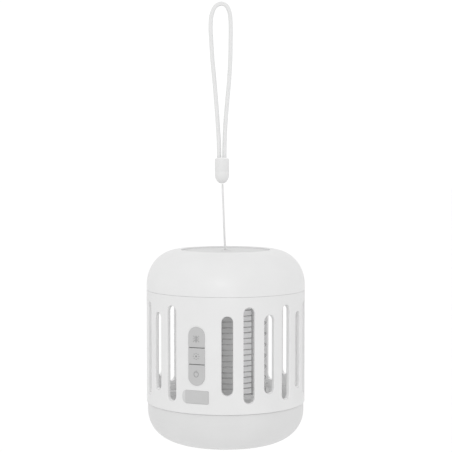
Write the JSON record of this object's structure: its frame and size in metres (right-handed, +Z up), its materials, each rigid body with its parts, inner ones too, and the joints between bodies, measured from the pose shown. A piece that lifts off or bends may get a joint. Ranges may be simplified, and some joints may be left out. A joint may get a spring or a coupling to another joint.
{
  "type": "electric bug zapper",
  "caption": "Hanging bug zapper lantern: slotted cage round a high voltage wire grid and UV core, domed cap, twist-off insect tray, cord loop.",
  "frame": {"origin": "underside of the cord loop's top, where it hangs on a hook", "axes": "+Z up along the cord and the lantern's axis, -Y the front of the lantern, +X to the right seen from the front"},
  "size_m": [0.09, 0.09, 0.2495],
  "materials": {
    "cap_plastic": "satin moulded",
    "cage_plastic": "satin moulded",
    "base_plastic": "satin moulded",
    "disc_plastic": "fine matt moulded",
    "button_grey": "fine matt moulded",
    "grey_rubber": "matt",
    "inner_plastic": "moulded",
    "grid_steel": "drawn wire",
    "fixing_steel": "zinc plated",
    "circuit_board": "solder mask",
    "uv_board": "solder mask with small light diodes",
    "black_component": "moulded",
    "battery_can": "shrink wrapped",
    "cord_fibre": "braided",
    "stopper_plastic": "satin moulded"
  },
  "bodies": {
    "strap": {"strap_loop": "cord_fibre", "strap_string": "cord_fibre", "strap_stopper": "stopper_plastic", "string_knot": "cord_fibre"},
    "lamp": {"cap_shell": "cap_plastic", "top_plate": "disc_plastic", "chassis_deck": "inner_plastic", "battery_cradle": "inner_plastic", "battery_cell": "battery_can", "main_board": "circuit_board", "hv_transformer": "black_component", "hv_capacitor": "black_component", "cage": "cage_plastic", "grid_holder_top": "inner_plastic", "grid_holder_bottom": "inner_plastic", "grid_wires_live": "grid_steel", "grid_wires_return": "grid_steel", "light_core": "inner_plastic", "deck_screw_1": "fixing_steel", "deck_screw_2": "fixing_steel", "deck_screw_3": "fixing_steel", "uv_strip_front": "uv_board", "uv_strip_right": "uv_board", "uv_strip_back": "uv_board", "uv_strip_left": "uv_board", "control_pod": "inner_plastic", "button_board": "circuit_board", "charge_board": "circuit_board", "usb_socket": "fixing_steel", "switch_bottom": "black_component", "switch_middle": "black_component", "switch_top": "black_component"},
    "base": {"base_tray": "base_plastic", "foot_pad": "grey_rubber"},
    "port_flap": {"port_flap": "grey_rubber"},
    "button_bottom": {"button_bottom": "button_grey"},
    "button_middle": {"button_middle": "button_grey"},
    "button_top": {"button_top": "button_grey"}
  },
  "joints": [
    {"name": "lamp_swing", "type": "hinge", "parent": "strap", "child": "lamp", "pos_m": [0.00387, 0, -0.1389], "axis": [0, 1, 0], "range_deg": [-20, 20]},
    {"name": "base_twist", "type": "hinge", "parent": "lamp", "child": "base", "pos_m": [0.00387, 0, -0.2235], "axis": [0, 0, 1], "range_deg": [0, 22]},
    {"name": "port_flap_hinge", "type": "hinge", "parent": "lamp", "child": "port_flap", "pos_m": [-0.00548, -0.0447, -0.21455], "axis": [0, 0, 1], "range_deg": [0, 110]},
    {"name": "button_bottom_press", "type": "slide", "parent": "lamp", "child": "button_bottom", "axis": [0.3502, 0.9367, 0], "range_m": [0, 0.0008], "stiffness_N_per_m": 900, "springref_m": -0.0006},
    {"name": "button_middle_press", "type": "slide", "parent": "lamp", "child": "button_middle", "axis": [0.3502, 0.9367, 0], "range_m": [0, 0.0008], "stiffness_N_per_m": 900, "springref_m": -0.0006},
    {"name": "button_top_press", "type": "slide", "parent": "lamp", "child": "button_top", "axis": [0.3502, 0.9367, 0], "range_m": [0, 0.0008], "stiffness_N_per_m": 900, "springref_m": -0.0006}
  ]
}
